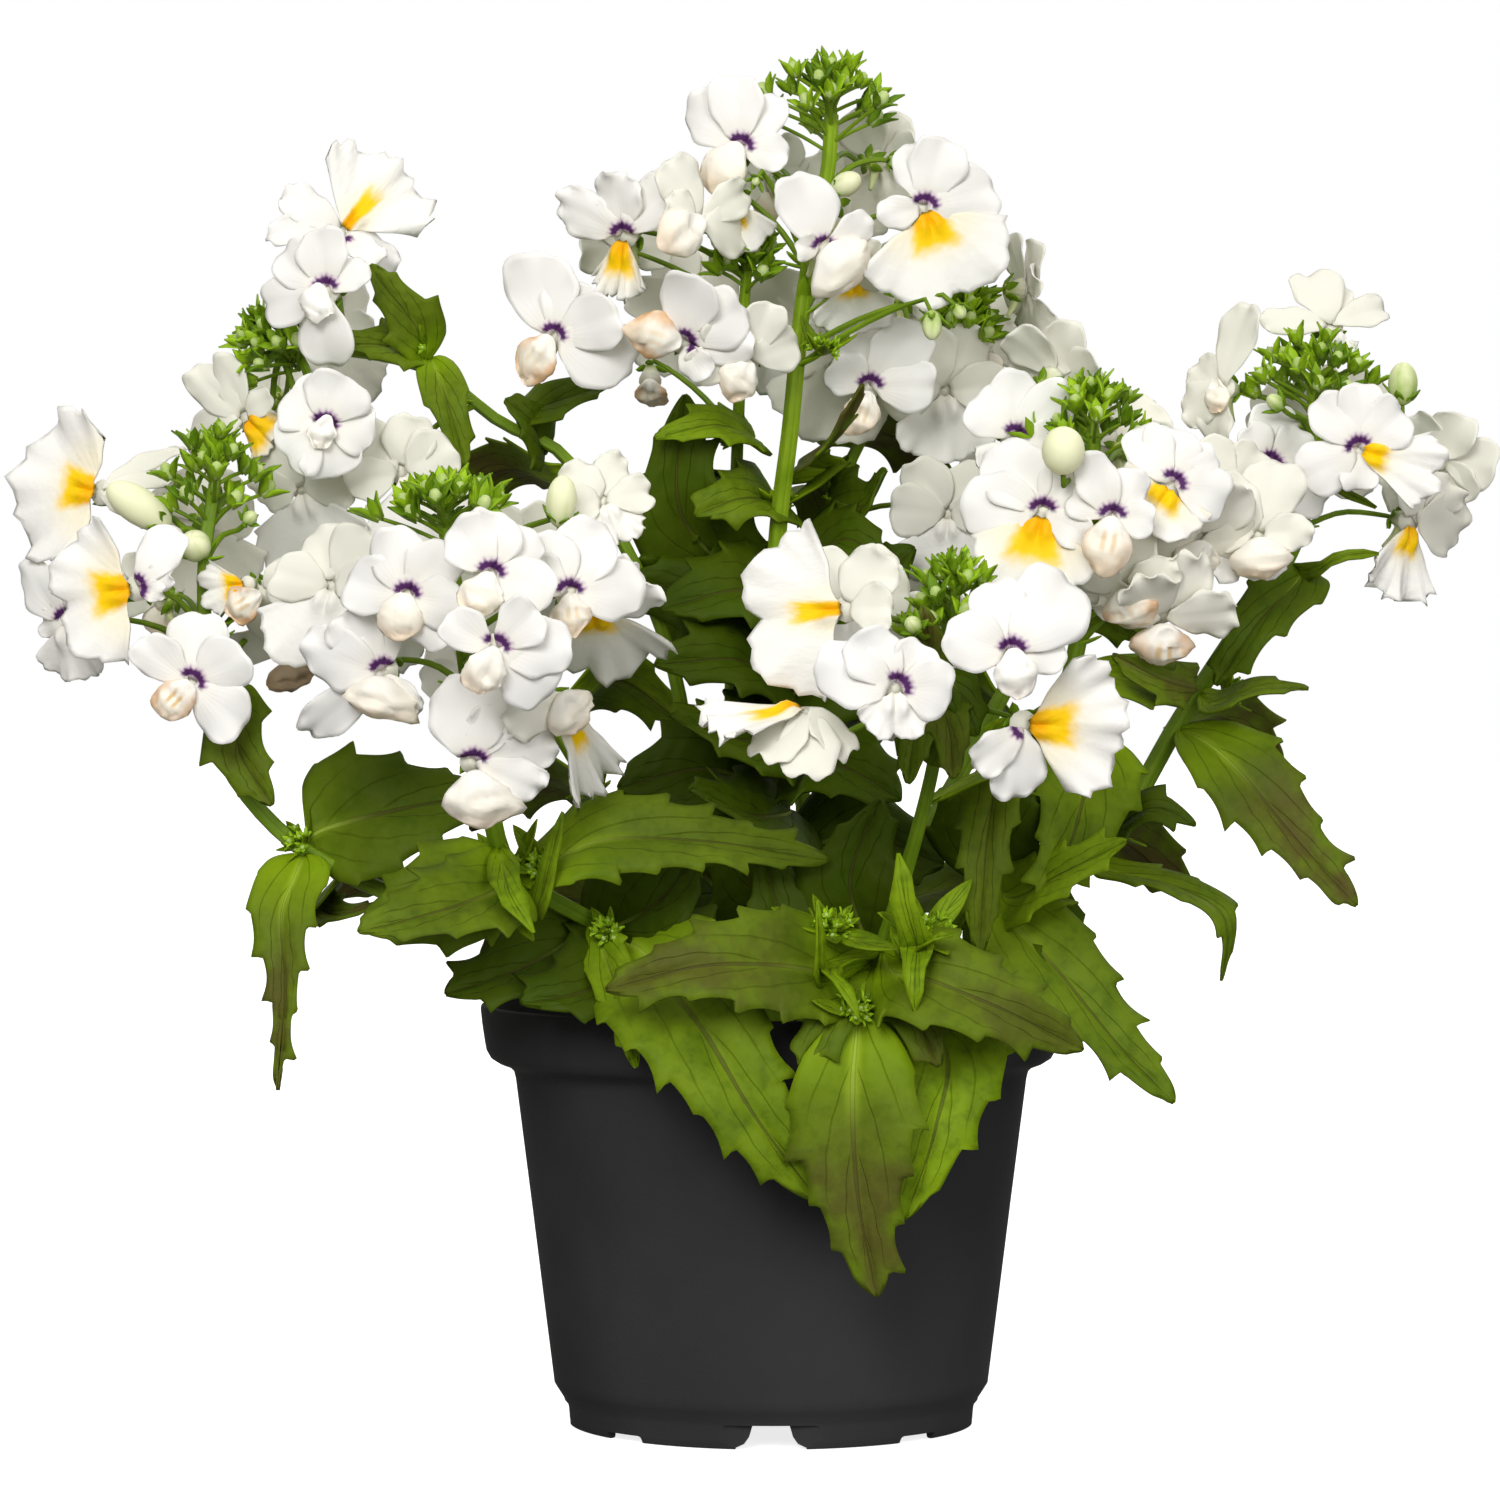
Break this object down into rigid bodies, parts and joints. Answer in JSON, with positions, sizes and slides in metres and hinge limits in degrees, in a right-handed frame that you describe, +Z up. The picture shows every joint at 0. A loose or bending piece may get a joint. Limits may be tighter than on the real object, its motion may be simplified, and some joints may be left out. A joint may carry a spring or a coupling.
{
  "type": "potted nemesia",
  "caption": "Bushy flowering nemesia with white, yellow-throated flowers and toothed green leaves, growing in a round black nursery pot.",
  "frame": {"origin": "centre of the pot's foot, on the surface that the pot stands on", "axes": "+Z up along the pot's axis; -Y towards the viewer of the picture; +X to the viewer's right"},
  "size_m": [0.306, 0.2305, 0.2809],
  "materials": {
    "pot_plastic": "satin",
    "potting_soil": "matte",
    "stem_green": "satin",
    "leaf_green": "satin",
    "petal_white": "matte"
  },
  "bodies": {
    "root": {"pot": "pot_plastic", "soil": "potting_soil", "crown_stem": "stem_green", "upper_mid_stem": "stem_green", "upper_right_stem": "stem_green", "upper_left_stem": "stem_green", "far_left_stem": "stem_green", "left_centre_stem": "stem_green", "right_front_stem": "stem_green", "right_centre_stem": "stem_green", "far_right_stem": "stem_green", "back_left_stem": "stem_green", "back_right_stem": "stem_green", "back_mid_stem": "stem_green", "front_leaf_over_rim": "leaf_green", "front_leaf_left": "leaf_green", "front_leaf_right": "leaf_green", "left_front_leaf_over_rim": "leaf_green", "centre_leaf": "leaf_green", "left_leaf": "leaf_green", "left_drooping_leaf": "leaf_green", "right_drooping_leaf": "leaf_green", "right_curled_leaf": "leaf_green", "right_serrated_leaf": "leaf_green", "upper_left_leaf": "leaf_green", "back_leaf_over_rim": "leaf_green", "crown_flower_1": "petal_white", "crown_flower_2": "petal_white", "crown_flower_3": "petal_white", "upper_mid_flower_1": "petal_white", "upper_mid_flower_2": "petal_white", "upper_mid_flower_3": "petal_white", "upper_right_flower_1": "petal_white", "upper_left_flower_1": "petal_white", "upper_left_flower_2": "petal_white", "upper_left_flower_3": "petal_white", "far_left_flower_1": "petal_white", "far_left_flower_2": "petal_white", "far_left_flower_3": "petal_white", "far_left_flower_4": "petal_white", "left_centre_flower_1": "petal_white", "left_centre_flower_2": "petal_white", "left_centre_flower_3": "petal_white", "left_centre_flower_4": "petal_white", "left_centre_flower_5": "petal_white", "left_centre_flower_6": "petal_white", "right_front_flower_1": "petal_white", "right_front_flower_2": "petal_white", "right_front_flower_3": "petal_white", "right_front_flower_4": "petal_white", "right_centre_flower_1": "petal_white", "right_centre_flower_2": "petal_white", "right_centre_flower_3": "petal_white", "far_right_flower_1": "petal_white", "far_right_flower_2": "petal_white", "far_right_flower_3": "petal_white", "far_right_flower_4": "petal_white", "back_left_flower_1": "petal_white", "back_right_flower_1": "petal_white", "back_mid_flower_1": "petal_white"}
  },
  "joints": []
}
